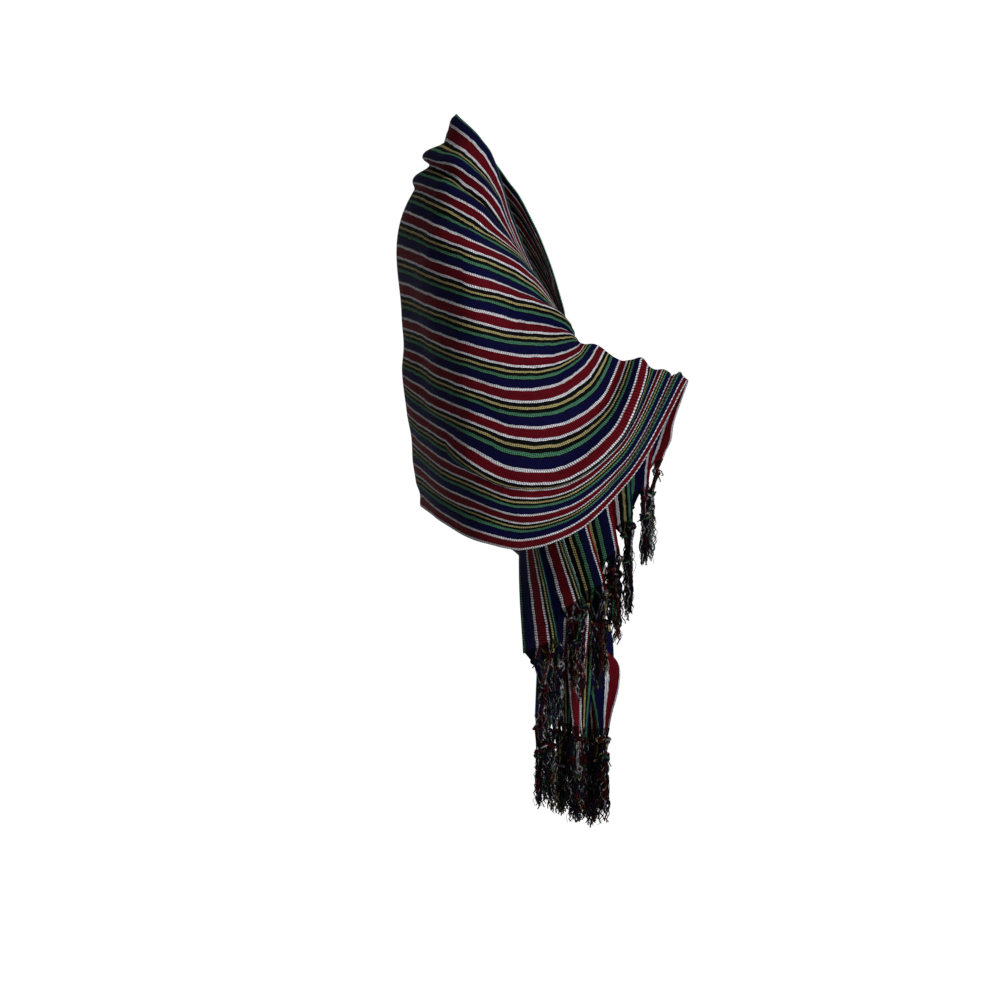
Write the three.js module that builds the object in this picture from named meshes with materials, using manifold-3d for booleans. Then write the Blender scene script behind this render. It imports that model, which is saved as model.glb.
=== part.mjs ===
// A striped, fringed shawl in its worn form: one rectangular cloth laid round the nape, both
// shoulders and both arms, carried over each forearm and left to hang inside it as a pleated tail.
//
// Frame: +X is the wearer's front, +Y the wearer's left, +Z up, millimetres. The origin is where
// the wearer carries the cloth: the root of the neck, level with the tops of the shoulders.
//
// Cloth coordinates: "along" counts stations from the nape (0) to a cut end (10), below zero on the
// wearer's left. "across" is the distance in mm from the hem (0) to the neck edge (WIDTH).

import * as THREE from "three";
import { mergeVertices } from "three/addons/utils/BufferGeometryUtils.js";
import Module from "manifold-3d";

// ---------------------------------------------------------------- driving dimensions, mm
const WIDTH = 700; // across the cloth
const WALL = 2; // thickness of the woven cloth
const SEAM_GAP = 0.3; // between two stretches of the cloth
const NORMAL_STEP = 0.4; // mm across, and thousandths of a station along, to read a normal
const LAST = 10; // the station of a cut end

// Where the guide lines run, across the cloth.
const GUIDES = { hem: 0, low: 177, mid: 342, high: 507, collar: 607, neck: WIDTH };

// The centre back, which both sides share: [forward, outward, up].
const NAPE = {
  hem: [-81, 0, -466],
  low: [-104, 0, -318],
  mid: [-110, 0, -192],
  high: [-109, 0, -32],
  collar: [-65, 0, 49],
  neck: [-27, 0, 121],
};

// The right side: this forearm is held level. [forward, outward, up] where each guide line
// crosses the station.
const RIGHT = [
  {
    at: "blade",
    hem: [-64.5, 105, -478], low: [-80, 112, -338], mid: [-82, 112, -204],
    high: [-86, 102, -45], collar: [-45, 80, 38], neck: [-17, 45, 108],
  },
  {
    at: "arm back",
    hem: [-30, 200, -501], low: [-45, 207, -362], mid: [-48, 207, -223],
    high: [-51, 188, -65], collar: [-20, 125, 20], neck: [8, 70, 82],
  },
  {
    at: "arm outside",
    hem: [15, 262, -520], low: [2, 263, -384], mid: [-2, 256, -240],
    high: [-8, 218, -84], collar: [12, 135, -8], neck: [30, 82, 44],
  },
  {
    at: "arm front",
    hem: [70, 285, -530], low: [56, 282, -406], mid: [56, 262, -254],
    high: [50, 172, -107], collar: [45, 120, -56], neck: [44, 84, 0],
  },
  {
    at: "elbow",
    hem: [140, 290, -508], low: [125, 278, -406], mid: [110, 246, -251],
    high: [98, 150, -142], collar: [80, 112, -115], neck: [70, 84, -75],
  },
  {
    at: "forearm outside",
    hem: [225, 272, -429], low: [200, 262, -358], mid: [146, 224, -236],
    high: [128, 155, -190], collar: [112, 125, -172], neck: [103, 100, -157],
  },
  {
    at: "forearm top",
    hem: [312, 222, -284], low: [250, 212, -259], mid: [160, 202, -226],
    high: [141, 168, -218], collar: [136, 146, -216], neck: [128, 124, -218],
  },
  {
    at: "forearm inside",
    hem: [290, 188, -345], low: [226, 176, -322], mid: [148, 166, -290],
    high: [116, 146, -300], collar: [106, 128, -300], neck: [94, 112, -300],
  },
  {
    at: "tail middle",
    hem: [283, 185, -368], low: [204, 173, -410], mid: [138, 164, -440],
    high: [96, 148, -480], collar: [82, 138, -500], neck: [70, 130, -520],
  },
  {
    at: "tail end",
    hem: [270, 182, -392], low: [210, 172, -500], mid: [174, 166, -582],
    high: [130, 158, -616], collar: [106, 154, -654], neck: [80, 150, -682],
  },
];

// The left side: this forearm slopes down to a low hand, so its tail starts and ends lower.
const LEFT = [
  {
    at: "blade",
    hem: [-66, 105, -472], low: [-81, 110, -334], mid: [-84, 112, -203],
    high: [-87, 102, -45], collar: [-45, 80, 38], neck: [-17, 45, 108],
  },
  {
    at: "arm back",
    hem: [-34, 202, -494], low: [-48, 206, -357], mid: [-50, 207, -222],
    high: [-53, 188, -65], collar: [-20, 125, 20], neck: [6, 68, 82],
  },
  {
    at: "arm outside",
    hem: [14, 264, -512], low: [0, 263, -378], mid: [-2, 256, -242],
    high: [-8, 218, -86], collar: [16, 132, -6], neck: [32, 74, 50],
  },
  {
    at: "arm front",
    hem: [64, 288, -541], low: [55, 282, -412], mid: [58, 260, -272],
    high: [62, 172, -104], collar: [66, 108, -40], neck: [60, 70, 10],
  },
  {
    at: "elbow",
    hem: [110, 290, -605], low: [108, 276, -470], mid: [108, 246, -330],
    high: [108, 150, -165], collar: [108, 102, -110], neck: [98, 76, -60],
  },
  {
    at: "forearm outside",
    hem: [165, 278, -668], low: [155, 262, -540], mid: [145, 230, -395],
    high: [138, 166, -250], collar: [136, 128, -190], neck: [127, 100, -150],
  },
  {
    at: "forearm top",
    hem: [197, 226, -592], low: [180, 214, -505], mid: [168, 205, -405],
    high: [155, 176, -305], collar: [148, 150, -260], neck: [138, 126, -225],
  },
  {
    at: "forearm inside",
    hem: [192, 186, -640], low: [172, 178, -560], mid: [160, 168, -470],
    high: [142, 150, -400], collar: [132, 130, -360], neck: [120, 112, -330],
  },
  {
    at: "tail middle",
    hem: [199, 152, -725], low: [177, 182, -685], mid: [157, 148, -640],
    high: [137, 164, -600], collar: [124, 136, -580], neck: [108, 140, -560],
  },
  {
    at: "tail end",
    hem: [198, 140, -806], low: [176, 190, -810], mid: [154, 138, -804],
    high: [132, 188, -798], collar: [114, 148, -792], neck: [92, 164, -786],
  },
];

// Valleys of the pleats that gather the cloth over each forearm, mm across. The last pleat is cut
// short by the neck edge.
const PLEAT_VALLEYS = {
  right: [0, 68, 145, 232, 345, 480, 640, WIDTH],
  left: [0, 96, 200, 296, 398, 500, 610, WIDTH],
};
// How deep the pleats are at stations along the cloth, mm either side of the cloth's middle, and how
// far they lean over one another there.
const PLEAT_DEPTH = [
  { along: 3.5, right: 0, left: 0, leanRight: 0, leanLeft: 0 },
  { along: 5, right: 2, left: 2.5, leanRight: 1, leanLeft: 1 },
  { along: 6, right: 4, left: 5, leanRight: 3, leanLeft: 3 },
  { along: 7, right: 4, left: 10, leanRight: 1, leanLeft: 8 },
  { along: 8, right: 7, left: 18, leanRight: 8, leanLeft: 12 },
  { along: 9, right: 13, left: 22, leanRight: 20, leanLeft: 14 },
  { along: LAST, right: 14, left: 6, leanRight: 21, leanLeft: 0 },
];
const LAST_PLEAT = 0.3; // how much of a whole pleat the one at the neck edge is
// What share of those depths and leans the pleats have at the hem and at the neck edge.
const PLEAT_SHARE = { right: [0.3, 1.6], left: [0.9, 1.1] };

// Folds: a ridge (height over 0) or trough that runs from one station to another. A ridge with a
// lean below 0 hangs over towards the hem.
const FOLDS = [
  { name: "lower collar roll", from: -4.6, to: 4.6, start: 581, end: 581, reach: 28, height: 11, lean: -10 },
  { name: "upper collar roll", from: -5, to: 5, start: 633, end: 633, reach: 26, height: 17, lean: -18 },
  { name: "right crook ridge", from: 2.8, to: 6.9, start: 446, end: 440, reach: 28, height: 12, lean: -12 },
  { name: "right crook trough", from: 3.4, to: 7.4, start: 412, end: 408, reach: 22, height: -5, lean: 0 },
  { name: "right sag ridge", from: 2.1, to: 6.8, start: 154, end: 172, reach: 28, height: 11, lean: -19 },
  { name: "right sag trough", from: 2.3, to: 5.6, start: 62, end: 48, reach: 22, height: -7, lean: 0 },
  { name: "right forearm sag", from: 4.8, to: 7.6, start: 262, end: 262, reach: 58, height: -11, lean: 0 },
  { name: "right cuff loop", from: 5, to: 8, start: 186, end: 186, reach: 24, height: 6, lean: 3 },
  { name: "left crook ridge", from: -7.4, to: -3.2, start: 430, end: 426, reach: 34, height: 9, lean: -12 },
  { name: "left crook trough", from: -6.8, to: -2.4, start: 446, end: 444, reach: 30, height: -8, lean: 0 },
  { name: "left sag ridge", from: -7, to: -2, start: 176, end: 120, reach: 30, height: 10, lean: -13 },
  { name: "left sag trough", from: -6.4, to: -2.4, start: 72, end: 52, reach: 24, height: -7, lean: 0 },
  { name: "back sag", from: -2.4, to: 2.4, start: 290, end: 312, reach: 52, height: -3, lean: 0 },
  { name: "back hem sag", from: -2.6, to: 1.8, start: 128, end: 114, reach: 46, height: -3, lean: 0 },
];
const LEAN_SPREAD = 2.2; // a lean reaches this many times further above its fold than the fold does

// Stretches of the cloth, each a solid of its own.
const BACK_HALF = 1.5; // the station where the back meets a shoulder
const ARM_HALF = 4.5; // where a shoulder meets a forearm
const TAIL_TOP = 7.5; // where a forearm meets a tail
const STRETCHES = [
  { name: "left_tail", from: -LAST, to: -TAIL_TOP, rows: 9 },
  { name: "left_forearm_drape", from: -TAIL_TOP, to: -ARM_HALF, rows: 9 },
  { name: "left_shoulder_drape", from: -ARM_HALF, to: -BACK_HALF, rows: 8 },
  { name: "back_drape", from: -BACK_HALF, to: BACK_HALF, rows: 8 },
  { name: "right_shoulder_drape", from: BACK_HALF, to: ARM_HALF, rows: 8 },
  { name: "right_forearm_drape", from: ARM_HALF, to: TAIL_TOP, rows: 9 },
  { name: "right_tail", from: TAIL_TOP, to: LAST, rows: 9 },
];
const ACROSS_PER_PLEAT = 5; // facets across one pleat

// The knotted fringe on each cut end: a strip that carries locks of yarn.
const FRINGE = {
  strip: 6, // how far the strip goes on from the cut end
  bite: 1, // how far a lock's root lies inside the strip
  locks: 32,
  first: 0.35, // where the first lock stands, as a share of the room of one
  sides: 4,
  length: 132,
  uneven: 14, // how much longer or shorter than that a lock can be
  flare: 13, // how far a lock stands out before it hangs
};
// A lock's thickness down its length.
const LOCK = [
  { name: "root", down: 0, radius: 2 },
  { name: "knot", down: 0.12, radius: 4 },
  { name: "below knot", down: 0.26, radius: 2.4 },
  { name: "tip", down: 1, radius: 1.8 },
];

// ---------------------------------------------------------------- the cloth's surface

// A cubic through the values at their knots, smooth at each knot.
function throughKnots(knots, values, x) {
  const last = knots.length - 2;
  let i = 0;
  while (i < last && x > knots[i + 1]) i += 1;
  const slope = (k) => (values[k + 1] - values[k]) / (knots[k + 1] - knots[k]);
  const tangent = (k) => {
    if (k === 0) return slope(0);
    if (k === knots.length - 1) return slope(k - 1);
    const before = knots[k] - knots[k - 1];
    const after = knots[k + 1] - knots[k];
    return (slope(k - 1) * after + slope(k) * before) / (before + after);
  };
  const span = knots[i + 1] - knots[i];
  const f = (x - knots[i]) / span;
  const g = 1 - f;
  return (
    values[i] * g * g * (1 + 2 * f) +
    values[i + 1] * f * f * (3 - 2 * f) +
    tangent(i) * span * f * g * g -
    tangent(i + 1) * span * f * f * g
  );
}

const GUIDE_NAMES = Object.keys(GUIDES);
const GUIDE_ACROSS = Object.values(GUIDES);

// A guide line from the left cut end to the right one, with the distance along it as its knots.
function guideLine(name) {
  const outwardOn = (rows, sign) =>
    rows.map(({ [name]: [forward, outward, up] }) => [forward, sign * outward, up]);
  const points = [...outwardOn(LEFT, 1).reverse(), NAPE[name], ...outwardOn(RIGHT, -1)];
  const knots = [0];
  for (let i = 1; i < points.length; i += 1)
    knots.push(knots[i - 1] + Math.hypot(...points[i].map((v, axis) => v - points[i - 1][axis])));
  return { knots, axes: [0, 1, 2].map((axis) => points.map((p) => p[axis])) };
}
const GUIDE_LINES = GUIDE_NAMES.map(guideLine);

function onGuide(line, along) {
  const place = THREE.MathUtils.clamp(along + LAST, 0, 2 * LAST);
  const i = Math.min(Math.floor(place), 2 * LAST - 1);
  const x = line.knots[i] + (place - i) * (line.knots[i + 1] - line.knots[i]);
  return line.axes.map((values) => throughKnots(line.knots, values, x));
}

// The smooth drape before folds and pleats.
function smoothPoint(along, across) {
  const crossing = GUIDE_LINES.map((line) => onGuide(line, along));
  const at = (axis) => throughKnots(GUIDE_ACROSS, crossing.map((p) => p[axis]), across);
  return new THREE.Vector3(at(0), at(1), at(2));
}

// A surface's outward normal, and the way along the cloth.
function frameAt(surface, along, across) {
  const da = NORMAL_STEP / 1000;
  const dw = NORMAL_STEP;
  const ahead = surface(Math.min(along + da, LAST), across);
  const onward = ahead.sub(surface(Math.max(along - da, -LAST), across)).normalize();
  const above = surface(along, Math.min(across + dw, WIDTH));
  const upward = above.sub(surface(along, Math.max(across - dw, 0)));
  return { normal: onward.clone().cross(upward).normalize(), onward };
}

// 1 in the middle of a fold, 0 at its reach, level at both.
const hump = (d) => (Math.abs(d) < 1 ? (1 - d * d) ** 2 : 0);

// How far the folds lift a place of the cloth along its normal, and lean it across.
function foldShift(along, across) {
  const shift = { lift: 0, lean: 0 };
  for (const fold of FOLDS) {
    const run = (along - fold.from) / (fold.to - fold.from);
    if (run <= 0 || run >= 1) continue;
    const distance = (across - THREE.MathUtils.lerp(fold.start, fold.end, run)) / fold.reach;
    const strength = Math.sin(Math.PI * run) ** 0.8;
    shift.lift += fold.height * strength * hump(distance);
    shift.lean += fold.lean * strength * hump(distance > 0 ? distance / LEAN_SPREAD : distance);
  }
  return shift;
}

// The same for the pleats.
function pleatShift(along, across) {
  const [side, leanKey] = along > 0 ? ["right", "leanRight"] : ["left", "leanLeft"];
  const stops = PLEAT_DEPTH.map((row) => row.along);
  const at = (key) => {
    const values = PLEAT_DEPTH.map((row) => row[key]);
    return throughKnots(stops, values, Math.max(Math.abs(along), stops[0]));
  };
  const valleys = PLEAT_VALLEYS[side];
  let i = 0;
  while (i < valleys.length - 2 && across >= valleys[i + 1]) i += 1;
  const whole = i === valleys.length - 2 ? LAST_PLEAT : 1;
  const place = ((across - valleys[i]) / (valleys[i + 1] - valleys[i])) * whole;
  const share = THREE.MathUtils.lerp(...PLEAT_SHARE[side], across / WIDTH);
  const wave = Math.cos(2 * Math.PI * place) * share;
  return { lift: -at(side) * wave, lean: -at(leanKey) * wave };
}

function clothPoint(along, across) {
  const fold = foldShift(along, across);
  const pleat = pleatShift(along, across);
  const { normal, onward } = frameAt(smoothPoint, along, across);
  return smoothPoint(along, across)
    .addScaledVector(normal, fold.lift + pleat.lift)
    .addScaledVector(normal.clone().cross(onward), fold.lean + pleat.lean);
}

// ---------------------------------------------------------------- solids

// A closed wall of the given thickness on a grid of surface points and normals.
function wallOn(grid, thick) {
  const rows = grid.length;
  const columns = grid[0].length;
  const positions = [];
  for (const side of [thick / 2, -thick / 2])
    for (const row of grid)
      for (const { point, normal } of row)
        positions.push(...point.clone().addScaledVector(normal, side).toArray());
  const front = (i, j) => i * columns + j;
  const back = (i, j) => rows * columns + front(i, j);
  const index = [];
  const quad = (a, b, c, d) => index.push(a, c, b, a, d, c);
  for (let i = 0; i < rows - 1; i += 1)
    for (let j = 0; j < columns - 1; j += 1) {
      quad(front(i, j), front(i, j + 1), front(i + 1, j + 1), front(i + 1, j));
      quad(back(i, j), back(i + 1, j), back(i + 1, j + 1), back(i, j + 1));
    }
  for (let i = 0; i < rows - 1; i += 1) {
    quad(front(i, 0), front(i + 1, 0), back(i + 1, 0), back(i, 0));
    const last = columns - 1;
    quad(front(i + 1, last), front(i, last), back(i, last), back(i + 1, last));
  }
  for (let j = 0; j < columns - 1; j += 1) {
    quad(front(0, j + 1), front(0, j), back(0, j), back(0, j + 1));
    const last = rows - 1;
    quad(front(last, j + 1), back(last, j + 1), back(last, j), front(last, j));
  }
  const geometry = new THREE.BufferGeometry();
  geometry.setAttribute("position", new THREE.Float32BufferAttribute(positions, 3));
  geometry.setIndex(index);
  return geometry;
}

// Places across the cloth where the facets start and end at a station.
function acrossSteps(along) {
  const toRight = THREE.MathUtils.clamp((along + BACK_HALF) / (2 * BACK_HALF), 0, 1);
  const { left, right } = PLEAT_VALLEYS;
  const valleys = left.map((valley, i) => THREE.MathUtils.lerp(valley, right[i], toRight));
  const steps = [];
  for (let i = 0; i < valleys.length - 1; i += 1)
    for (let k = 0; k < ACROSS_PER_PLEAT; k += 1)
      steps.push(THREE.MathUtils.lerp(valleys[i], valleys[i + 1], k / ACROSS_PER_PLEAT));
  return [...steps, WIDTH];
}

// The cloth's section at a station, with the way square to it along the cloth.
function sectionAt(along) {
  return acrossSteps(along).map((across) => {
    const { normal } = frameAt(clothPoint, along, across);
    const low = clothPoint(along, Math.max(across - NORMAL_STEP, 0));
    const high = clothPoint(along, Math.min(across + NORMAL_STEP, WIDTH));
    const onward = high.sub(low).cross(normal).normalize();
    return { point: clothPoint(along, across), normal, onward };
  });
}

// A section moved along the cloth, to leave a seam's gap.
const moved = (section, distance) =>
  section.map(({ point, normal, onward }) => ({
    point: point.clone().addScaledVector(onward, distance),
    normal,
    onward,
  }));

function stretch({ from, to, rows }) {
  const grid = [];
  for (let i = 0; i <= rows; i += 1) {
    const section = sectionAt(THREE.MathUtils.lerp(from, to, i / rows));
    if (i === 0 && from > -LAST) grid.push(moved(section, SEAM_GAP / 2));
    else if (i === rows && to < LAST) grid.push(moved(section, -SEAM_GAP / 2));
    else grid.push(section);
  }
  return wallOn(grid, WALL);
}

// ---------------------------------------------------------------- fringe

const wasm = await Module();
wasm.setup();

function solidOf(geometry) {
  const bare = geometry.clone();
  bare.deleteAttribute("normal");
  bare.deleteAttribute("uv");
  const merged = mergeVertices(bare, 1e-4);
  const vertProperties = merged.attributes.position.array;
  const triVerts = new Uint32Array(merged.index.array);
  return new wasm.Manifold(new wasm.Mesh({ numProp: 3, vertProperties, triVerts }));
}

function geometryOf(solid) {
  const mesh = solid.getMesh();
  const geometry = new THREE.BufferGeometry();
  geometry.setAttribute("position", new THREE.Float32BufferAttribute(mesh.vertProperties, 3));
  geometry.setIndex([...mesh.triVerts]);
  return geometry;
}

// An even spread of lengths that repeats itself only after many locks.
const spread = (k) => Math.sin(2.4 * k) * 0.6 + Math.sin(5.1 * k + 1) * 0.4;

// One lock of yarns: it leaves the strip the way the cloth runs, then hangs straight down.
function lock(root, onward, k) {
  const length = FRINGE.length + FRINGE.uneven * spread(k);
  const shape = new THREE.CylinderGeometry(1, 1, 1, FRINGE.sides, LOCK.length - 1);
  shape.rotateY(0.9 * k + 0.5);
  const place = shape.attributes.position;
  for (let i = 0; i < place.count; i += 1) {
    const ring = LOCK[Math.round((0.5 - place.getY(i)) * (LOCK.length - 1))];
    const away = FRINGE.flare * Math.min(1, ring.down / LOCK[1].down);
    place.setXYZ(
      i,
      root.x + place.getX(i) * ring.radius + onward.x * away,
      root.y - place.getZ(i) * ring.radius + onward.y * away,
      root.z - ring.down * length,
    );
  }
  return shape;
}

function fringe(sign) {
  const steps = acrossSteps(sign * LAST);
  const cutEnd = sectionAt(sign * LAST);
  const rows = [moved(cutEnd, sign * SEAM_GAP), moved(cutEnd, sign * (SEAM_GAP + FRINGE.strip))];
  const roots = moved(cutEnd, sign * (SEAM_GAP + FRINGE.strip - FRINGE.bite));
  let solid = solidOf(wallOn(sign > 0 ? rows : rows.reverse(), WALL));
  for (let k = 0; k < FRINGE.locks; k += 1) {
    const across = ((k + FRINGE.first) / FRINGE.locks) * WIDTH;
    const i = steps.findIndex((step) => step > across) - 1;
    const share = (across - steps[i]) / (steps[i + 1] - steps[i]);
    const root = roots[i].point.clone().lerp(roots[i + 1].point, share);
    const onward = roots[i].onward.clone().multiplyScalar(sign);
    solid = solid.add(solidOf(lock(root, onward, k)));
  }
  return geometryOf(solid);
}

// ---------------------------------------------------------------- the shawl

const CLOTH = new THREE.MeshStandardMaterial({ color: 0x1b1836, roughness: 0.92, metalness: 0 });
const YARN = new THREE.MeshStandardMaterial({ color: 0x2a2130, roughness: 0.95, metalness: 0 });

const shawl = new THREE.Group();
shawl.name = "shawl";

for (const part of STRETCHES) {
  const mesh = new THREE.Mesh(stretch(part), CLOTH);
  mesh.name = part.name;
  shawl.add(mesh);
}

for (const [name, sign] of [["right_fringe", 1], ["left_fringe", -1]]) {
  const mesh = new THREE.Mesh(fringe(sign), YARN);
  mesh.name = name;
  shawl.add(mesh);
}

export default shawl;
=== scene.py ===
"""A striped, fringed shawl in its worn form.

One rectangle of striped cloth lies round the nape, both shoulders and both arms, goes over each
forearm and hangs inside it as a pleated tail. Each cut end carries a knotted fringe.

+X is the wearer's front, +Y the wearer's left, +Z up. The tables are in millimetres. "along" counts
stations from the nape (0) to a cut end (10), below zero on the wearer's left. "across" is the
distance from the hem (0) to the neck edge (WIDTH).
"""

import math
import random

import bpy
import numpy as np
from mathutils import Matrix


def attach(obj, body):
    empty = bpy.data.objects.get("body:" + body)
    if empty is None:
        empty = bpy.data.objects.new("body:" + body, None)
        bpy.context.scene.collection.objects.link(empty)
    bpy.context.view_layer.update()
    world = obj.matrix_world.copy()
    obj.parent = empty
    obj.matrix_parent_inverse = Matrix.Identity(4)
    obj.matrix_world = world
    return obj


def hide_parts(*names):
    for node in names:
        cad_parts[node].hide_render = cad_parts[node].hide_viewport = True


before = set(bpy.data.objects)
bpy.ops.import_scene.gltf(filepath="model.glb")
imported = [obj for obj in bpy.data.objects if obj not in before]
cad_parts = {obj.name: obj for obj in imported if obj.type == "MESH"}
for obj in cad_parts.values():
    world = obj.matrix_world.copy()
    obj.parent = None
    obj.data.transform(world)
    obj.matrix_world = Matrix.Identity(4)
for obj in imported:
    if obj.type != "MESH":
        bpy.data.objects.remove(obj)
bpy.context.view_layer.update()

# ------------------------------------------------------------------ sizes, mm
WIDTH = 700  # of the cloth, hem to neck edge
FLAT_LENGTH = 1870  # of the cloth, cut end to cut end
LAST = 10  # the station at a cut end
SHELL = 1.5  # thickness of the cloth
ROWS = 330  # of faces, along the cloth
COLUMNS = 136  # of faces, across it
FINE_STATIONS = 1801  # at which the guide lines are measured
PER_MM = 2  # places across the cut end, for the fringe's roots

# The lines along the cloth that carry its form: how far across each lies.
GUIDES = {"hem": 0, "low": 177, "mid": 342, "high": 507, "collar": 607, "neck": WIDTH}

# The centre back: forward, outward, up.
NAPE = {
    "hem": (-81, 0, -466),
    "low": (-104, 0, -318),
    "mid": (-110, 0, -192),
    "high": (-109, 0, -32),
    "collar": (-65, 0, 49),
    "neck": (-27, 0, 121),
}

# Where each guide line crosses the stations of the right side, whose forearm is level.
RIGHT = {
    "hem": [(-64.5, 105, -478), (-30, 200, -501), (15, 262, -520), (70, 285, -530), (140, 290, -508),
            (225, 272, -429), (312, 222, -284), (290, 188, -345), (283, 185, -368), (270, 182, -392)],
    "low": [(-80, 112, -338), (-45, 207, -362), (2, 263, -384), (56, 282, -406), (125, 278, -406),
            (200, 262, -358), (250, 212, -259), (226, 176, -322), (204, 173, -410), (210, 172, -500)],
    "mid": [(-82, 112, -204), (-48, 207, -223), (-2, 256, -240), (56, 262, -254), (110, 246, -251),
            (146, 224, -236), (160, 202, -226), (148, 166, -290), (138, 164, -440), (174, 166, -582)],
    "high": [(-86, 102, -45), (-51, 188, -65), (-8, 218, -84), (50, 172, -107), (98, 150, -142),
             (128, 155, -190), (141, 168, -218), (116, 146, -300), (96, 148, -480), (130, 158, -616)],
    "collar": [(-45, 80, 38), (-20, 125, 20), (12, 135, -8), (45, 120, -56), (80, 112, -115),
               (112, 125, -172), (136, 146, -216), (106, 128, -300), (82, 138, -500), (106, 154, -654)],
    "neck": [(-17, 45, 108), (8, 70, 82), (30, 82, 44), (44, 84, 0), (70, 84, -75),
             (103, 100, -157), (128, 124, -218), (94, 112, -300), (70, 130, -520), (80, 150, -682)],
}

# The same for the left side, whose forearm slopes down.
LEFT = {
    "hem": [(-66, 105, -472), (-34, 202, -494), (14, 264, -512), (64, 288, -541), (110, 290, -605),
            (165, 278, -668), (197, 226, -592), (192, 186, -640), (199, 152, -725), (198, 140, -806)],
    "low": [(-81, 110, -334), (-48, 206, -357), (0, 263, -378), (55, 282, -412), (108, 276, -470),
            (155, 262, -540), (180, 214, -505), (172, 178, -560), (177, 182, -685), (176, 190, -810)],
    "mid": [(-84, 112, -203), (-50, 207, -222), (-2, 256, -242), (58, 260, -272), (108, 246, -330),
            (145, 230, -395), (168, 205, -405), (160, 168, -470), (157, 148, -640), (154, 138, -804)],
    "high": [(-87, 102, -45), (-53, 188, -65), (-8, 218, -86), (62, 172, -104), (108, 150, -165),
             (138, 166, -250), (155, 176, -305), (142, 150, -400), (137, 164, -600), (132, 188, -798)],
    "collar": [(-45, 80, 38), (-20, 125, 20), (16, 132, -6), (66, 108, -40), (108, 102, -110),
               (136, 128, -190), (148, 150, -260), (132, 130, -360), (124, 136, -580), (114, 148, -792)],
    "neck": [(-17, 45, 108), (6, 68, 82), (32, 74, 50), (60, 70, 10), (98, 76, -60),
             (127, 100, -150), (138, 126, -225), (120, 112, -330), (108, 140, -560), (92, 164, -786)],
}

# Valleys of the pleats that gather the cloth over each forearm, across. The last pleat is cut short
# by the neck edge.
PLEAT_VALLEYS = {
    "right": [0, 68, 145, 232, 345, 480, 640, WIDTH],
    "left": [0, 96, 200, 296, 398, 500, 610, WIDTH],
}
# along, how deep the pleats are on the right and the left, and how far they lean over there.
PLEAT_DEPTH = [
    (3.5, 0, 0, 0, 0),
    (5, 2, 2.5, 1, 1),
    (6, 4, 5, 3, 3),
    (7, 4, 10, 1, 8),
    (8, 7, 18, 8, 12),
    (9, 13, 22, 20, 14),
    (LAST, 14, 6, 21, 0),
]
LAST_PLEAT = 0.3  # how much of a whole pleat the one at the neck edge is
# What share of those depths and leans the pleats have at the hem and at the neck edge.
PLEAT_SHARE = {"right": (0.3, 1.6), "left": (0.9, 1.1)}

LEAN_REACH = 2.2  # how many times further a lean reaches above a crest than below it

# Folds and creases: from station, to station, across at each, reach, height (a trough below 0), and
# how far the fold leans over, towards the hem below 0.
FOLDS = {
    "lower collar roll": (-4.6, 4.6, 581, 581, 28, 11, -10),
    "upper collar roll": (-5, 5, 633, 633, 26, 17, -18),
    "right crook ridge": (2.8, 6.9, 446, 440, 28, 12, -12),
    "right crook trough": (3.4, 7.4, 412, 408, 22, -5, 0),
    "right sag ridge": (2.1, 6.8, 154, 172, 28, 11, -19),
    "right sag trough": (2.3, 5.6, 62, 48, 22, -7, 0),
    "right forearm sag": (4.8, 7.6, 262, 262, 58, -11, 0),
    "right cuff loop": (5, 8, 186, 186, 24, 6, 3),
    "left crook ridge": (-7.4, -3.2, 430, 426, 34, 9, -12),
    "left crook trough": (-6.8, -2.4, 446, 444, 30, -8, 0),
    "left sag ridge": (-7, -2, 176, 120, 30, 10, -13),
    "left sag trough": (-6.4, -2.4, 72, 52, 24, -7, 0),
    "back sag": (-2.4, 2.4, 290, 312, 52, -3, 0),
    "back hem sag": (-2.6, 1.8, 128, 114, 46, -3, 0),
}
CREASES = {
    "collar pinch, right": (0.6, 4.8, 606, 592, 11, -7, 0),
    "collar pinch, left": (-4.8, -0.4, 592, 607, 11, -7, 0),
    "neck edge curl": (-4.2, 4.4, 688, 686, 16, 4, 0),
    "nape crease": (-1.4, 1.2, 655, 662, 9, -3, 0),
    "shoulder crease, right": (0.9, 3.6, 520, 545, 12, -3.5, 0),
    "shoulder ridge, right": (1.4, 4.4, 492, 512, 16, 3, -2),
    "shoulder crease, left": (-3.8, -1, 548, 522, 12, -3.5, 0),
    "upper arm drag, right": (1.2, 4.6, 372, 398, 14, -2.5, 0),
    "upper arm drag, left": (-4.8, -1.4, 380, 366, 14, -2.5, 0),
    "blade drag, right": (0.2, 3.1, 236, 205, 16, 2.5, -1),
    "blade drag, left": (-3.3, -0.3, 214, 240, 16, 2.5, -1),
    "elbow crease, right": (3.4, 6.6, 300, 318, 12, -4, 0),
    "elbow ridge, right": (3.8, 7, 330, 342, 14, 4, -3),
    "elbow crease, left": (-6.7, -3.5, 322, 304, 12, -4, 0),
    "forearm crease, right": (4.2, 7.2, 222, 236, 12, -3.5, 0),
    "forearm crease, left": (-7.2, -4.3, 240, 226, 12, -3.5, 0),
    "cuff crease, right": (5.2, 7.6, 66, 74, 10, -4, 0),
    "cuff roll, right": (5.6, 8, 34, 44, 15, 4, 0),
    "cuff crease, left": (-7.6, -5.2, 72, 66, 10, -4, 0),
    "hem tuck, right": (0.8, 4.6, 48, 40, 13, -5, 0),
    "hem ripple, right": (2.4, 5.6, 16, 22, 14, 3, 0),
    "hem ripple, left": (-5.4, -2.2, 20, 15, 14, 3, 0),
    "hem ripple, back": (-1.6, 1, 26, 18, 20, -3, 0),
    "break in the arm": (2.9, 4.3, 262, 226, 12, -5, 0),
}

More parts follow.
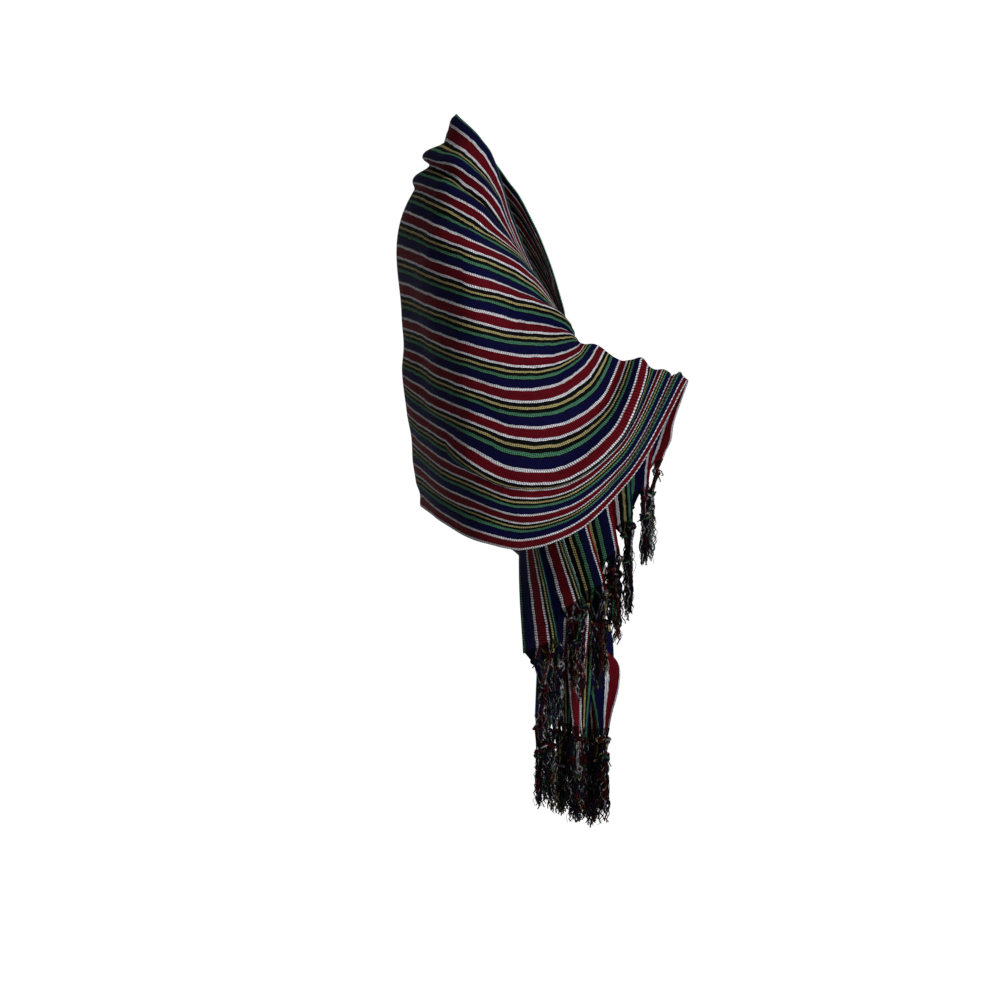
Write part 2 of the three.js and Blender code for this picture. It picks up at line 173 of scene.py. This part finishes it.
# The cloth's unevenness as four waves: height, length along, length across, start. A length below 0
# slants the wave the other way.
WAVES = [
    (0.7, 23, 41, 1.3),
    (0.6, 17, -29, 4.1),
    (0.4, 11, 60, 0.4),
    (0.25, 7.3, -17, 2.2),
]
WAVE_STATION = 62  # what one station counts for in the lengths along

# The stripes of one repeat, up from the hem: name, width.
STRIPES = [
    ("black", 0.5),
    ("white", 3.9),
    ("red", 14.0),
    ("white", 3.9),
    ("black", 0.6),
    ("navy", 12.3),
    ("black", 1.2),
    ("green", 4.8),
    ("black", 5.2),
    ("yellow", 3.6),
    ("black", 5.0),
]
REPEAT = sum(width for _, width in STRIPES)
DYES = {
    "white": (0.86, 0.86, 0.92),
    "red": (0.155, 0.004, 0.011),
    "navy": (0.004, 0.004, 0.052),
    "green": (0.08, 0.25, 0.15),
    "yellow": (0.5, 0.43, 0.19),
    "black": (0.003, 0.003, 0.004),
}
PICK = 2.9  # from one weft pick to the next
CORD = 1.9  # from one warp cord to the next
PICK_SLANT = 0.11  # how many picks the beads run ahead for each mm across
PLY = 2.4  # from one turn of a yarn's ply to the next

# ------------------------------------------------------------------ the cloth's surface


def through_knots(knots, values, x):
    """A cubic through values at their knots, smooth at each knot; x is an array."""
    knots = np.asarray(knots, float)
    values = np.asarray(values, float)
    x = np.asarray(x, float)
    spans = np.diff(knots)
    extra = (1,) * (values.ndim - 1)
    slopes = np.diff(values, axis=0) / spans.reshape(-1, *extra)
    tangents = np.empty_like(values)
    tangents[0] = slopes[0]
    tangents[-1] = slopes[-1]
    before = spans[:-1].reshape(-1, *extra)
    after = spans[1:].reshape(-1, *extra)
    tangents[1:-1] = (slopes[:-1] * after + slopes[1:] * before) / (before + after)
    i = np.clip(np.searchsorted(knots, x, side="right") - 1, 0, len(knots) - 2)
    span = spans[i].reshape(-1, *extra)
    f = ((x - knots[i]) / spans[i]).reshape(-1, *extra)
    g = 1 - f
    return (
        values[i] * g * g * (1 + 2 * f)
        + values[i + 1] * f * f * (3 - 2 * f)
        + tangents[i] * span * f * g * g
        - tangents[i + 1] * span * f * f * g
    )


def guide_points(name):
    right = [(x, -y, z) for x, y, z in RIGHT[name]]
    return np.array([*reversed(LEFT[name]), NAPE[name], *right], float)


def on_guide(name, along):
    """Places on a guide line at stations along it."""
    points = guide_points(name)
    steps = np.linalg.norm(np.diff(points, axis=0), axis=1)
    knots = np.concatenate([[0], np.cumsum(steps)])
    place = np.clip(along + LAST, 0, 2 * LAST)
    i = np.minimum(place.astype(int), 2 * LAST - 1)
    return through_knots(knots, points, knots[i] + (place - i) * steps[i])


def unit(v):
    return v / np.maximum(np.linalg.norm(v, axis=-1, keepdims=True), 1e-9)


def surface_normals(grid):
    """Outward normals of a grid whose rows run along the cloth and columns across it."""
    return unit(np.cross(np.gradient(grid, axis=0), np.gradient(grid, axis=1)))


def fold_shift(along, across):
    """How far the folds and creases lift each place of the cloth, and lean it across."""
    lift = np.zeros(np.broadcast(along, across).shape)
    lean = np.zeros_like(lift)
    for start, stop, first, last, reach, rise, slide in [*FOLDS.values(), *CREASES.values()]:
        run = np.clip((along - start) / (stop - start), 0, 1)
        distance = (across - (first + (last - first) * run)) / reach
        strength = np.sin(math.pi * run) ** 0.8
        above = np.where(distance > 0, distance / LEAN_REACH, distance)
        lift += rise * strength * np.where(np.abs(distance) < 1, (1 - distance**2) ** 2, 0)
        lean += slide * strength * np.where(np.abs(above) < 1, (1 - above**2) ** 2, 0)
    return lift, lean


def pleat_shift(along, across):
    """How far the pleats lift each place of the cloth, and lean it across."""
    stops = [row[0] for row in PLEAT_DEPTH]
    reach = np.maximum(np.abs(along[:, 0]), stops[0])
    lift = np.zeros((len(along), across.shape[1]))
    lean = np.zeros_like(lift)
    for side, column, here in (("right", 1, along[:, 0] > 0), ("left", 2, along[:, 0] <= 0)):
        depth = through_knots(stops, [row[column] for row in PLEAT_DEPTH], reach) * here
        slide = through_knots(stops, [row[column + 2] for row in PLEAT_DEPTH], reach) * here
        valleys = np.array(PLEAT_VALLEYS[side], float)
        i = np.clip(np.searchsorted(valleys, across[0], side="right") - 1, 0, len(valleys) - 2)
        whole = np.where(i == len(valleys) - 2, LAST_PLEAT, 1)
        place = (across[0] - valleys[i]) / (valleys[i + 1] - valleys[i]) * whole
        wave = np.cos(2 * math.pi * place) * np.interp(across[0], (0, WIDTH), PLEAT_SHARE[side])
        lift -= depth[:, None] * wave[None, :]
        lean -= slide[:, None] * wave[None, :]
    return lift, lean


def unevenness(along, across):
    """Shallow waves that no two places share, at most about 2 mm."""
    run = along * WAVE_STATION
    return sum(
        height * np.sin(run / length + across / width + start)
        for height, length, width, start in WAVES
    )


def even_stations(rows):
    """Stations that part the cloth into rows of equal length."""
    fine = np.linspace(-LAST, LAST, FINE_STATIONS)
    lines = [on_guide(name, fine) for name in GUIDES]
    steps = sum(np.linalg.norm(np.diff(line, axis=0), axis=1) for line in lines)
    run = np.concatenate([[0], np.cumsum(steps)]) / len(lines)
    return np.interp(np.linspace(0, run[-1], rows + 1), run, fine)


def cloth_grid(stations, acrosses):
    """Places of the cloth's middle surface, a row for each station."""
    crossings = np.stack([on_guide(name, stations) for name in GUIDES])
    grid = through_knots(list(GUIDES.values()), crossings, acrosses).transpose(1, 0, 2)
    along = stations[:, None]
    across = acrosses[None, :]
    fold_lift, fold_lean = fold_shift(along, across)
    pleat_lift, pleat_lean = pleat_shift(along, across)
    lift = fold_lift + pleat_lift + unevenness(along, across)
    normals = surface_normals(grid)
    up_the_cloth = np.cross(normals, unit(np.gradient(grid, axis=0)))
    return grid + normals * lift[..., None] + up_the_cloth * (fold_lean + pleat_lean)[..., None]


# ------------------------------------------------------------------ meshes


def mesh_piece(name, points, faces, uv, material):
    """uv holds one pair for each corner of each face, in metres."""
    mesh = bpy.data.meshes.new(name)
    mesh.from_pydata(np.asarray(points) / 1000, [], faces)
    layer = mesh.uv_layers.new(name="cloth_metres")
    layer.data.foreach_set("uv", np.asarray(uv, np.float32).ravel())
    mesh.materials.append(material)
    mesh.polygons.foreach_set("use_smooth", [True] * len(mesh.polygons))
    mesh.update()
    piece = bpy.data.objects.new(name, mesh)
    bpy.context.scene.collection.objects.link(piece)
    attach(piece, "root")
    return piece


def shell_piece(name, grid, run, acrosses, material):
    """A closed shell of cloth about a grid of points."""
    rows, columns = grid.shape[:2]
    normals = surface_normals(grid)
    outer = (grid + normals * SHELL / 2).reshape(-1, 3)
    inner = (grid - normals * SHELL / 2).reshape(-1, 3)
    count = rows * columns
    place = np.stack(np.meshgrid(run / 1000, acrosses / 1000, indexing="ij"), axis=-1).reshape(-1, 2)
    i, j = np.meshgrid(np.arange(rows - 1), np.arange(columns - 1), indexing="ij")
    a = (i * columns + j).ravel()
    front = np.stack([a, a + columns, a + columns + 1, a + 1], axis=1)
    back = front[:, ::-1] + count
    rim = []
    for start in range(columns - 1):
        end = (rows - 1) * columns + start
        rim.append((start, start + 1, start + 1 + count, start + count))
        rim.append((end + 1, end, end + count, end + 1 + count))
    for row in range(rows - 1):
        hem = row * columns
        neck = hem + columns - 1
        rim.append((hem + columns, hem, hem + count, hem + columns + count))
        rim.append((neck, neck + columns, neck + columns + count, neck + count))
    faces = np.concatenate([front, back, np.array(rim)])
    uv = place[faces % count]
    return mesh_piece(name, np.concatenate([outer, inner]), faces.tolist(), uv, material)


# Directions of which one is never close to a strand's own.
ASIDE = np.array([(1, 0, 0), (0, 1, 0), (0, 0, 1), (0.6, 0.6, 0.53), (-0.6, 0.6, 0.53)])


def tube(path, radius, sides, points, faces, uv, across, taper):
    """Adds a closed tube on a path to the lists; its faces take the dye found at across."""
    path = np.asarray(path, float)
    first = len(points)
    heading = unit(np.gradient(path, axis=0))
    clear = [np.linalg.norm(np.cross(heading, aside), axis=1).min() for aside in ASIDE]
    side = unit(np.cross(heading, ASIDE[int(np.argmax(clear))]))
    other = np.cross(heading, side)
    run = np.concatenate([[0], np.cumsum(np.linalg.norm(np.diff(path, axis=0), axis=1))])
    share = run / run[-1]
    for k in range(sides):
        turn = 2 * math.pi * k / sides
        thick = (radius * (1 - (1 - taper) * share))[:, None]
        ring = path + (side * math.cos(turn) + other * math.sin(turn)) * thick
        points.extend(ring.tolist())
    n = len(path)
    dye = across / 1000
    for k in range(sides):
        here = first + k * n
        beside = first + (k + 1) % sides * n
        for i in range(n - 1):
            faces.append((here + i, beside + i, beside + i + 1, here + i + 1))
            near = (run[i] / 1000, dye)
            far = (run[i + 1] / 1000, dye)
            uv.extend((near, near, far, far))
    for i, order in ((0, range(sides - 1, -1, -1)), (n - 1, range(sides))):
        faces.append(tuple(first + k * n + i for k in order))
        uv.extend([(run[i] / 1000, dye)] * sides)


# ------------------------------------------------------------------ materials


class Nodes:
    """Short ways to make nodes in one tree."""

    def __init__(self, tree):
        self.tree = tree

    def add(self, kind, **values):
        node = self.tree.nodes.new(kind)
        for key, value in values.items():
            setattr(node, key, value)
        return node

    def plug(self, value, socket):
        if isinstance(value, bpy.types.NodeSocket):
            self.tree.links.new(value, socket)
        else:
            socket.default_value = value

    def math(self, operation, a, b=0.0, c=0.0):
        node = self.add("ShaderNodeMath", operation=operation)
        for value, socket in zip((a, b, c), node.inputs):
            self.plug(value, socket)
        return node.outputs[0]

    def mix(self, share, a, b, blend="MIX"):
        node = self.add("ShaderNodeMix", data_type="RGBA", blend_type=blend)
        self.plug(share, node.inputs[0])
        self.plug(a, node.inputs[6])
        self.plug(b, node.inputs[7])
        return node.outputs[2]

    def noise(self, vector, scale, detail=2.0):
        node = self.add("ShaderNodeTexNoise")
        self.plug(vector, node.inputs["Vector"])
        node.inputs["Scale"].default_value = scale
        node.inputs["Detail"].default_value = detail
        return node.outputs["Fac"]

    def swing(self, vector, scale, reach):
        """A number that wavers about 0."""
        return self.math("MULTIPLY", self.math("SUBTRACT", self.noise(vector, scale), 0.5), reach)

    def wave(self, value):
        """A row of round humps, one for each whole number."""
        return self.math("ABSOLUTE", self.math("SINE", self.math("MULTIPLY", value, math.pi)))


def stripe_ramp(nodes, across_mm):
    """The dye at a place across the cloth, in mm."""
    place = nodes.math("FRACT", nodes.math("DIVIDE", across_mm, REPEAT))
    ramp = nodes.add("ShaderNodeValToRGB")
    ramp.color_ramp.interpolation = "CONSTANT"
    stops = ramp.color_ramp.elements
    stops[0].color = (*DYES[STRIPES[0][0]], 1)
    edge = STRIPES[0][1]
    stops[1].position = edge / REPEAT
    stops[1].color = (*DYES[STRIPES[1][0]], 1)
    for k, (name, width) in enumerate(STRIPES[1:], 1):
        if k > 1:
            stop = stops.new(edge / REPEAT)
            stop.color = (*DYES[name], 1)
        edge += width
    nodes.plug(place, ramp.inputs[0])
    return ramp.outputs[0]


def new_material(name, rough, sheen):
    material = bpy.data.materials.new(name)
    material.use_nodes = True
    nodes = Nodes(material.node_tree)
    shader = material.node_tree.nodes["Principled BSDF"]
    shader.inputs["Roughness"].default_value = rough
    shader.inputs["Specular IOR Level"].default_value = 0.06
    shader.inputs["Sheen Weight"].default_value = sheen
    shader.inputs["Sheen Roughness"].default_value = 0.45
    return material, nodes, shader


def woven_material():
    """Warp-faced cloth: cords run with the stripes, and the picks bead them. The gaps between beads and
    between cords are darkened in the base colour as painted shade.
    """
    material, nodes, shader = new_material("woven_stripes", 0.9, 0.0)
    uv = nodes.add("ShaderNodeUVMap", uv_map="cloth_metres").outputs[0]
    parts = nodes.add("ShaderNodeSeparateXYZ")
    nodes.plug(uv, parts.inputs[0])
    run = nodes.math("MULTIPLY", parts.outputs[0], 1000.0)
    across = nodes.math("MULTIPLY", parts.outputs[1], 1000.0)
    stretched = nodes.add("ShaderNodeMapping")
    nodes.plug(uv, stretched.inputs[0])
    stretched.inputs["Scale"].default_value = (1.0, 6.0, 1.0)
    wander = nodes.swing(uv, 45.0, 3.4)
    quiver = nodes.swing(uv, 190.0, 1.6)
    across_here = nodes.math("ADD", across, nodes.math("ADD", wander, quiver))
    cord = nodes.math("DIVIDE", across_here, CORD)
    slant = nodes.math("MULTIPLY", across_here, PICK_SLANT)
    bead = nodes.wave(nodes.math("ADD", nodes.math("DIVIDE", run, PICK), slant))
    ridge = nodes.wave(cord)
    relief = nodes.math("MULTIPLY", nodes.math("POWER", bead, 0.7), nodes.math("POWER", ridge, 0.6))
    dye = stripe_ramp(nodes, across_here)
    streak = nodes.noise(stretched.outputs[0], 60.0, 4.0)
    shade = nodes.math("ADD", nodes.math("MULTIPLY", streak, 1.1), 0.42)
    # Painted shade: depth darkens the base colour in the gaps between the beads and between the cords, on
    # top of the bump.
    depth = nodes.math("ADD", nodes.math("MULTIPLY", nodes.math("POWER", relief, 1.5), 1.7), 0.08)
    tone_with_painted_shade = nodes.math("MULTIPLY", shade, depth)
    grey = nodes.add("ShaderNodeCombineColor")
    for socket in grey.inputs[:3]:
        nodes.plug(tone_with_painted_shade, socket)
    nodes.plug(nodes.mix(1.0, dye, grey.outputs[0], "MULTIPLY"), shader.inputs["Base Color"])
    bump = nodes.add("ShaderNodeBump")
    bump.inputs["Strength"].default_value = 0.7
    bump.inputs["Distance"].default_value = 0.0009
    nodes.plug(relief, bump.inputs["Height"])
    nodes.plug(bump.outputs[0], shader.inputs["Normal"])
    return material


def yarn_material():
    """Loose yarn in the dye of the stripe that it comes from, with its ply showing, and with painted
    shade: dark patches for the tangle's self-shadow and darker grooves between the ply's turns.
    """
    material, nodes, shader = new_material("fringe_yarn", 0.92, 0.02)
    uv = nodes.add("ShaderNodeUVMap", uv_map="cloth_metres").outputs[0]
    parts = nodes.add("ShaderNodeSeparateXYZ")
    nodes.plug(uv, parts.inputs[0])
    run = nodes.math("MULTIPLY", parts.outputs[0], 1000.0)
    across = nodes.math("MULTIPLY", parts.outputs[1], 1000.0)
    dye = stripe_ramp(nodes, across)
    ply = nodes.math("ABSOLUTE", nodes.math("SINE", nodes.math("MULTIPLY", run, math.pi / PLY)))
    place = nodes.add("ShaderNodeTexCoord").outputs["Object"]
    # Painted shadow: dark patches along the yarns stand for the tangle's self-shadow.
    painted_shadow_patch = nodes.math("MULTIPLY", nodes.math("SUBTRACT", nodes.noise(place, 210.0), 0.4), 3.6)
    shade = nodes.math("MAXIMUM", nodes.math("MINIMUM", painted_shadow_patch, 1.0), 0.12)
    # Painted shade: the ply also darkens the colour in the grooves between its turns.
    tone_with_painted_shade = nodes.math("MULTIPLY", shade, nodes.math("ADD", nodes.math("MULTIPLY", ply, 0.45), 0.35))
    grey = nodes.add("ShaderNodeCombineColor")
    for socket in grey.inputs[:3]:
        nodes.plug(tone_with_painted_shade, socket)
    nodes.plug(nodes.mix(1.0, dye, grey.outputs[0], "MULTIPLY"), shader.inputs["Base Color"])
    bump = nodes.add("ShaderNodeBump")
    bump.inputs["Strength"].default_value = 0.5
    bump.inputs["Distance"].default_value = 0.0004
    nodes.plug(ply, bump.inputs["Height"])
    nodes.plug(bump.outputs[0], shader.inputs["Normal"])
    return material


def plain_material(name, colour, rough):
    material, _, shader = new_material(name, rough, 0.0)
    shader.inputs["Base Color"].default_value = (*colour, 1)
    return material


# ------------------------------------------------------------------ the cloth

weave = woven_material()
yarn = yarn_material()

stations = even_stations(ROWS)
acrosses = np.linspace(0, WIDTH, COLUMNS + 1)
grid = cloth_grid(stations, acrosses)
run = np.linspace(0, FLAT_LENGTH, ROWS + 1)
cloth = shell_piece("striped_cloth", grid, run, acrosses, weave)
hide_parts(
    "back_drape",
    "left_shoulder_drape",
    "right_shoulder_drape",
    "left_forearm_drape",
    "right_forearm_drape",
    "left_tail",
    "right_tail",
)

# ------------------------------------------------------------------ the fringes

LOCKS = 32  # in one fringe
FIRST = 0.35  # where the first lock stands, in lock widths from the hem
KNOT_DOWN = 13  # from a lock's root to its knot
JOIN_DOWN = 35  # from there to the knot that joins two locks
JOIN_UNEVEN = 18  # how much longer or shorter that is
LOCK_LENGTH = 132
LOCK_UNEVEN = 14  # how much longer or shorter a lock is
FLARE = 13  # how far a lock's knot stands out from the cut end
CUT_STEP = 0.03  # stations; gives the cloth's direction at its cut end
TURN = 6.28  # about a whole turn
RING_STEPS = 12  # in one wrap of a knot
# A knot's size, how far across the cloth its dyes come from, and its wraps.
LOCK_KNOT = (5.4, 18, 8)
JOIN_KNOT = (7.6, 30, 13)
ROOT_STRANDS = 13  # from the cut end to a lock's knot
LINK_STRANDS = 9  # from there to the joining knot
THICK_STRANDS = 22  # loose, below the joining knot
FINE_STRANDS = 16  # finer ones among them


def spread(k):
    """A number from -1 to 1 that differs from lock to lock."""
    return math.sin(2.4 * k) * 0.6 + math.sin(5.1 * k + 1) * 0.4


class Yarns:
    """Gathers the tubes of one fringe; each takes the dye of a place across the cloth."""

    def __init__(self, seed):
        self.rng = random.Random(seed)
        self.points = []
        self.faces = []
        self.uv = []

    def near(self, centre, reach):
        rng = self.rng
        return centre + np.array([rng.uniform(-reach, reach) for _ in range(3)])

    def strand(self, path, radius, across, sides=3, taper=0.7):
        tube(path, radius, sides, self.points, self.faces, self.uv, across, taper)

    def slack(self, start, end, radius, across, bow):
        """A strand between two knots, bowed to one side."""
        rng = self.rng
        side = np.array([rng.gauss(0, bow), rng.gauss(0, bow), 0])
        path = []
        for i in range(11):
            share = i / 10
            sway = math.sin(math.pi * share) + 0.35 * math.sin(3 * math.pi * share)
            path.append(start * (1 - share) + end * share + side * sway)
        self.strand(path, radius, across, 4, 1)

    def knot(self, centre, across, size, reach, wraps):
        """A knot as wraps of yarn that lean every way round one place, with a few short ends."""
        rng = self.rng
        for _ in range(wraps):
            one = unit(np.array([rng.gauss(0, 1), rng.gauss(0, 1), rng.gauss(0, 0.6)]))
            other = unit(np.cross(one, np.array([rng.gauss(0, 1), rng.gauss(0, 1), rng.gauss(0, 1)])))
            wide = size * rng.uniform(0.45, 0.85)
            deep = wide * rng.uniform(0.6, 1)
            middle = self.near(centre, size * 0.5)
            ring = []
            for i in range(RING_STEPS + 1):
                turn = i / RING_STEPS * 2 * math.pi
                ring.append(middle + one * wide * math.cos(turn) + other * deep * math.sin(turn))
            self.strand(ring, rng.uniform(1.1, 1.8), across + rng.uniform(-reach, reach), 5, 1)
        for _ in range(3):
            start = self.near(centre, size * 0.6)
            away = np.array([rng.gauss(0, 4), rng.gauss(0, 4), -rng.uniform(4, 14)])
            self.slack(start, start + away, 0.9, across + rng.uniform(-reach, reach), 1.5)

    def loose(self, start, length, radius, across, fan, curl):
        """A loose, crimped strand that hangs from a knot."""
        rng = self.rng
        steps = max(8, int(length / 4.2))
        phase = rng.uniform(0, TURN)
        turn = rng.uniform(0, TURN)
        wave = rng.uniform(13, 24)
        slow = rng.uniform(34, 56)
        drift = (rng.gauss(0, fan), rng.gauss(0, fan))
        path = []
        for i in range(steps + 1):
            down = i / steps * length
            share = i / steps
            crimp = curl * min(1, down / 14)
            quick = math.sin(down / wave * TURN + phase) * crimp
            long = math.sin(down / slow * TURN + phase * 2) * crimp * 1.5
            path.append(
                start
                + np.array([drift[0], drift[1], 0]) * share**0.7
                + np.array([math.cos(turn), math.sin(turn), 0]) * quick
                + np.array([-math.sin(turn), math.cos(turn), 0.2]) * long
                - np.array([0, 0, down])
            )
        self.strand(path, radius, across)


def fringe(name, sign, seed, curl):
    """Locks knotted under the cut end, joined two by two, and loose below that."""
    yarns = Yarns(seed)
    rng = yarns.rng
    ends = np.sort([sign * (LAST - CUT_STEP), sign * LAST])
    near = cloth_grid(ends, np.linspace(0, WIDTH, WIDTH * PER_MM + 1))
    cut = near[1 if sign > 0 else 0]
    onward = unit(near[1] - near[0]) * sign

    def at(line, across):
        return line[int(round(min(max(across, 0), WIDTH) * PER_MM))]

    knots = []
    for k in range(LOCKS):
        across = (k + FIRST) / LOCKS * WIDTH
        way = at(onward, across) * np.array([1, 1, 0])
        knot = at(cut, across) + at(onward, across) * 5 + way * FLARE - np.array([0, 0, KNOT_DOWN])
        knots.append((across, knot))
        yarns.knot(knot, across, *LOCK_KNOT)
        for m in range(ROOT_STRANDS):
            place = across + (m / (ROOT_STRANDS - 1) - 0.5) * WIDTH / LOCKS * 1.05
            start = at(cut, place) - at(onward, place)
            middle = start * 0.5 + knot * 0.5 + at(onward, place) * 2
            yarns.strand([start, middle, yarns.near(knot, 2.5)], 1.4, place, 5, 0.9)
    for k in range(0, LOCKS, 2):
        (across_a, a), (across_b, b) = knots[k], knots[k + 1]
        across = (across_a + across_b) / 2
        drop = JOIN_DOWN + JOIN_UNEVEN * spread(k + 13)
        join = (a + b) / 2 - np.array([0, 0, drop])
        yarns.knot(join, across, *JOIN_KNOT)
        for start_across, start in knots[k : k + 2]:
            for _ in range(LINK_STRANDS):
                place = start_across + rng.uniform(-13, 13)
                yarns.slack(yarns.near(start, 2.5), yarns.near(join, 2), rng.uniform(0.9, 1.5), place, 2.2)
        length = LOCK_LENGTH + LOCK_UNEVEN * spread(k) - KNOT_DOWN - drop
        for _ in range(THICK_STRANDS):
            place = across + rng.uniform(-24, 24)
            share = rng.uniform(0.75, 1.02)
            yarns.loose(yarns.near(join, 3.5), length * share, rng.uniform(1.2, 1.9), place, 2.4, curl)
        for _ in range(FINE_STRANDS):
            place = across + rng.uniform(-26, 26)
            share = rng.uniform(0.6, 1.04)
            yarns.loose(yarns.near(join, 3.5), length * share, 0.6, place, 3.8, curl * 1.3)
    piece = mesh_piece(name, yarns.points, yarns.faces, yarns.uv, yarn)
    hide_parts(name.replace("_yarns", ""))
    return piece


right_fringe = fringe("right_fringe_yarns", 1, 11, 2.0)
left_fringe = fringe("left_fringe_yarns", -1, 23, 2.5)

# ------------------------------------------------------------------ floor, light and camera, metres

FLOOR = -1.46
FLOOR_FRONT = -6.0
WALL = 10.0
WALL_TOP = 6.0
BEND = 1.6  # radius between floor and wall
BEND_STEPS = 12
HALF_WIDE = 7.0
GLOW = 0.9
AMBIENT = 0.11

# name, place, what it points at, width, watts
LIGHTS = [
    ("key", (3.0, -3.6, -0.4), (0.05, 0, -0.5), 1.0, 82),
    ("upper", (3.2, -3.2, 2.2), (0.05, 0, -0.4), 1.0, 48),
    ("fill", (0.6, -4.8, -0.9), (0.05, 0, -0.5), 1.6, 20),
    ("rear", (2.2, 4.4, 0.8), (0.05, 0, -0.5), 1.6, 45),
    ("top", (0.2, 0.6, 2.6), (0.05, 0, -0.4), 1.8, 15),
]

SENSOR = 36  # mm
CAMERA_AWAY = 8.0
VIEW_WIDTH = 1.5  # at the shawl
VIEW_MIDDLE = (0.0375, -0.4575)  # forward, up


def backdrop():
    """A floor that turns up into a wall, far enough behind to leave the rear open to view."""
    profile = [(FLOOR_FRONT, FLOOR), (WALL, FLOOR)]
    for i in range(1, BEND_STEPS + 1):
        turn = i / BEND_STEPS * math.pi / 2
        profile.append((WALL + BEND * math.sin(turn), FLOOR + BEND * (1 - math.cos(turn))))
    profile.append((WALL + BEND, WALL_TOP))
    points = [(x, y, z) for x in (-HALF_WIDE, HALF_WIDE) for y, z in profile]
    n = len(profile)
    mesh = bpy.data.meshes.new("backdrop")
    mesh.from_pydata(points, [], [(i, i + n, i + n + 1, i + 1) for i in range(n - 1)])
    mesh.polygons.foreach_set("use_smooth", [True] * len(mesh.polygons))
    paper = plain_material("pale_paper", (0.86, 0.86, 0.86), 0.9)
    shader = paper.node_tree.nodes["Principled BSDF"]
    shader.inputs["Emission Color"].default_value = (1, 1, 1, 1)
    shader.inputs["Emission Strength"].default_value = GLOW
    mesh.materials.append(paper)
    sweep = bpy.data.objects.new("backdrop", mesh)
    bpy.context.scene.collection.objects.link(sweep)
    sweep.visible_diffuse = False  # so its glow doesn't light the cloth


def soft_light(name, place, target, width, watts):
    data = bpy.data.lights.new(name, "AREA")
    data.shape = "DISK"
    data.size = width
    data.energy = watts
    lamp = bpy.data.objects.new(name, data)
    bpy.context.scene.collection.objects.link(lamp)
    lamp.location = place
    aim = np.array(target) - np.array(place)
    tilt = math.acos(-aim[2] / np.linalg.norm(aim))
    lamp.rotation_euler = (tilt, 0, math.atan2(-aim[0], aim[1]))


backdrop()
for light in LIGHTS:
    soft_light(*light)

world = bpy.data.worlds.new("studio")
world.use_nodes = True
sky = world.node_tree.nodes["Background"]
sky.inputs["Color"].default_value = (1, 1, 1, 1)
sky.inputs["Strength"].default_value = AMBIENT
bpy.context.scene.world = world
bpy.context.scene.view_settings.view_transform = "Standard"

camera_data = bpy.data.cameras.new("camera")
camera_data.sensor_width = SENSOR
camera_data.lens = SENSOR * CAMERA_AWAY / VIEW_WIDTH
camera = bpy.data.objects.new("camera", camera_data)
bpy.context.scene.collection.objects.link(camera)
camera.location = (VIEW_MIDDLE[0], -CAMERA_AWAY, VIEW_MIDDLE[1])
camera.rotation_euler = (math.pi / 2, 0, 0)
bpy.context.scene.camera = camera
